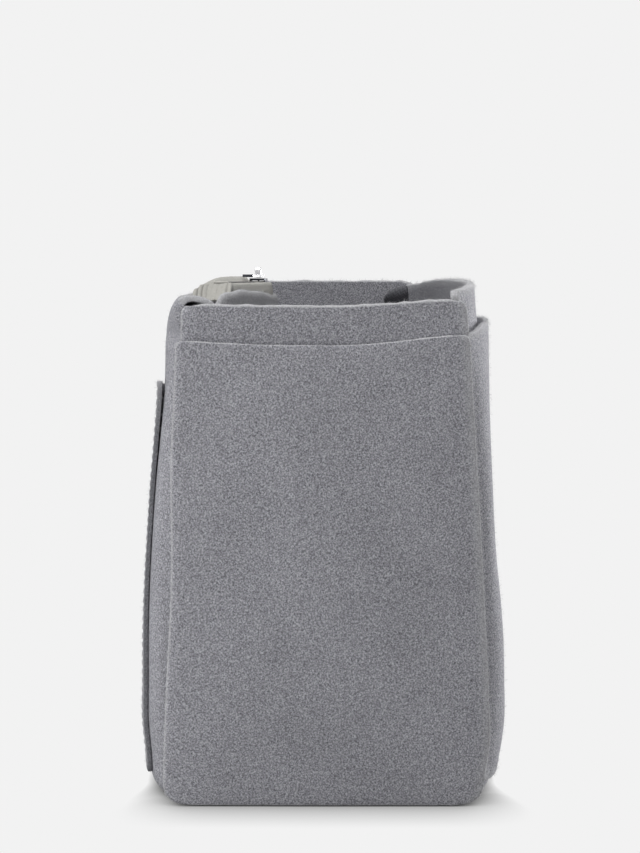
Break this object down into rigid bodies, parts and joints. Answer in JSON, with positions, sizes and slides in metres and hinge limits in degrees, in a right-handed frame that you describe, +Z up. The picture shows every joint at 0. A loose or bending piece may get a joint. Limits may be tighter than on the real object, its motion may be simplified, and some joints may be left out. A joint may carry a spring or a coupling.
{
  "type": "purse organizer insert",
  "caption": "Open-topped felt box that stands inside a handbag and sorts its contents, with outer slip pockets, a zipped inner pocket, an inner slip pocket and a key strap.",
  "frame": {"origin": "middle of the underside, on the surface that the organizer stands on", "axes": "+Z up; +Y along the length, away from the end that the picture shows; +X to the right as seen from that end"},
  "size_m": [0.1324, 0.25, 0.1806],
  "materials": {
    "grey_felt": "matte pressed felt with heathered fibres",
    "dark_binding": "matte dark grey felt edge",
    "base_board": "plain stiffening board",
    "zip_tape": "woven herringbone tape",
    "zip_teeth": "moulded resin",
    "zip_metal": "bright plated die-cast metal",
    "strap_webbing": "flat woven webbing",
    "ring_metal": "dark plated wire"
  },
  "bodies": {
    "organizer": {"body_wrap": "grey_felt", "end_panel_near": "grey_felt", "end_panel_far": "grey_felt", "end_pocket_near": "grey_felt", "end_pocket_far": "grey_felt", "right_pocket": "grey_felt", "left_pocket": "grey_felt", "left_pocket_binding": "dark_binding", "inner_pocket": "grey_felt", "base_stiffener": "base_board", "floor_lining": "grey_felt", "zip_pocket_front": "grey_felt", "zip_tape_left": "zip_tape", "zip_tape_right": "zip_tape", "zip_teeth_left": "zip_teeth", "zip_teeth_right": "zip_teeth", "zip_bottom_stop": "zip_metal", "zip_top_stop_left": "zip_metal", "zip_top_stop_right": "zip_metal", "key_strap": "strap_webbing"},
    "zip_slider": {"zip_slider_body": "zip_metal", "zip_slider_bridge": "zip_metal"},
    "zip_pull": {"zip_pull": "zip_metal"},
    "key_ring": {"key_ring": "ring_metal"}
  },
  "joints": [
    {"name": "zip_travel", "type": "slide", "parent": "organizer", "child": "zip_slider", "axis": [-0.0456, -0.9985, 0.0297], "range_m": [0, 0.163]},
    {"name": "pull_flip", "type": "hinge", "parent": "zip_slider", "child": "zip_pull", "pos_m": [-0.02757, 0.08911, 0.17678], "axis": [-0.9829, 0.1842, -0.0041], "range_deg": [0, 160]},
    {"name": "ring_swing", "type": "hinge", "parent": "organizer", "child": "key_ring", "pos_m": [0.03725, 0.11635, 0.127], "axis": [-1, 0, 0], "range_deg": [0, 120]}
  ]
}
